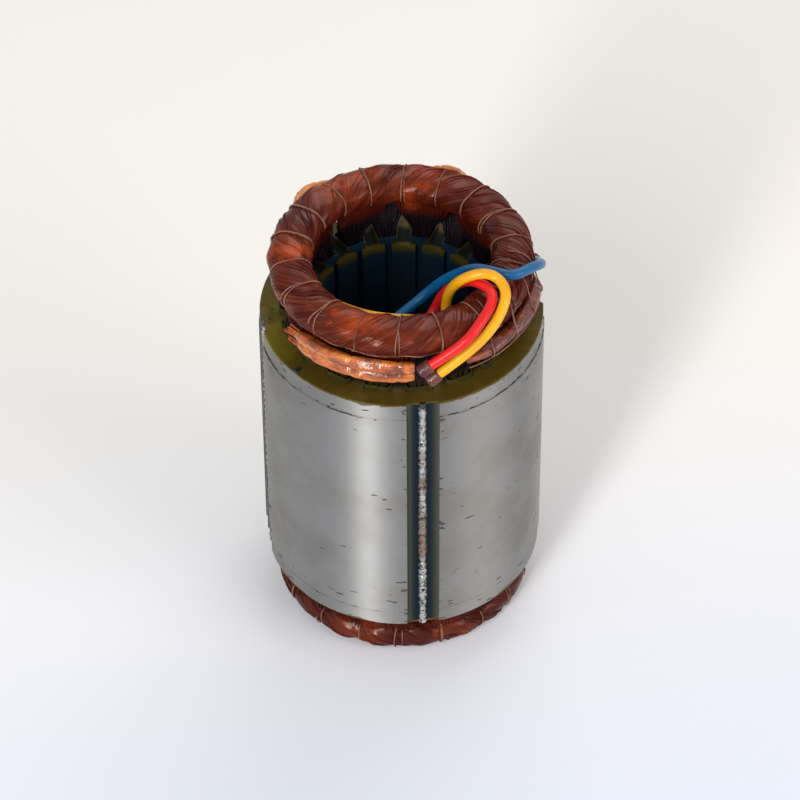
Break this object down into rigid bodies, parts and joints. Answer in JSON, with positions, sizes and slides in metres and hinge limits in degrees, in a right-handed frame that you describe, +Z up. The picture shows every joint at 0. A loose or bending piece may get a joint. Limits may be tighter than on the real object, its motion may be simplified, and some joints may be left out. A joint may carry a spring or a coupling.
{
  "type": "wound stator core",
  "caption": "Round welded lamination stack with a copper winding in its slots, laced end windings and short coloured leads tucked into the top opening.",
  "frame": {"origin": "on the bore's axis, at the lowest point of the laced bottom winding, on which the part stands", "axes": "+Z up along the bore, towards the winding end with the leads; -Y through the weld seam nearest the lead joints"},
  "size_m": [0.0794, 0.0804, 0.1351],
  "materials": {
    "core_steel": "turned",
    "weld_metal": "as welded",
    "slot_insulation": "varnished paper",
    "wedge_strip": "varnished strip",
    "varnished_winding": "varnished copper wire",
    "lacing_cord": "varnished cord",
    "amber_sleeving": "varnished sleeving",
    "joint_sleeving": "varnished sleeving",
    "lead_yellow": "smooth insulation",
    "lead_red": "smooth insulation",
    "lead_blue": "smooth insulation"
  },
  "bodies": {
    "root": {"lamination_stack": "core_steel", "weld_seam_1": "weld_metal", "weld_seam_2": "weld_metal", "weld_seam_3": "weld_metal", "weld_seam_4": "weld_metal", "slot_liner_01": "slot_insulation", "slot_wedge_01": "wedge_strip", "slot_liner_02": "slot_insulation", "slot_wedge_02": "wedge_strip", "slot_liner_03": "slot_insulation", "slot_wedge_03": "wedge_strip", "slot_liner_04": "slot_insulation", "slot_wedge_04": "wedge_strip", "slot_liner_05": "slot_insulation", "slot_wedge_05": "wedge_strip", "slot_liner_06": "slot_insulation", "slot_wedge_06": "wedge_strip", "slot_liner_07": "slot_insulation", "slot_wedge_07": "wedge_strip", "slot_liner_08": "slot_insulation", "slot_wedge_08": "wedge_strip", "slot_liner_09": "slot_insulation", "slot_wedge_09": "wedge_strip", "slot_liner_10": "slot_insulation", "slot_wedge_10": "wedge_strip", "slot_liner_11": "slot_insulation", "slot_wedge_11": "wedge_strip", "slot_liner_12": "slot_insulation", "slot_wedge_12": "wedge_strip", "slot_liner_13": "slot_insulation", "slot_wedge_13": "wedge_strip", "slot_liner_14": "slot_insulation", "slot_wedge_14": "wedge_strip", "slot_liner_15": "slot_insulation", "slot_wedge_15": "wedge_strip", "slot_liner_16": "slot_insulation", "slot_wedge_16": "wedge_strip", "slot_liner_17": "slot_insulation", "slot_wedge_17": "wedge_strip", "slot_liner_18": "slot_insulation", "slot_wedge_18": "wedge_strip", "coil_u1": "varnished_winding", "coil_v1": "varnished_winding", "coil_w1": "varnished_winding", "coil_u2": "varnished_winding", "coil_v2": "varnished_winding", "coil_w2": "varnished_winding", "coil_u3": "varnished_winding", "coil_v3": "varnished_winding", "coil_w3": "varnished_winding", "top_lacing": "lacing_cord", "bottom_lacing": "lacing_cord", "star_sleeve_lower": "amber_sleeving", "star_sleeve_upper": "amber_sleeving", "lead_yellow": "lead_yellow", "joint_sleeve_yellow": "joint_sleeving", "lead_red": "lead_red", "joint_sleeve_red": "joint_sleeving", "lead_blue": "lead_blue", "joint_sleeve_blue": "joint_sleeving"}
  },
  "joints": []
}
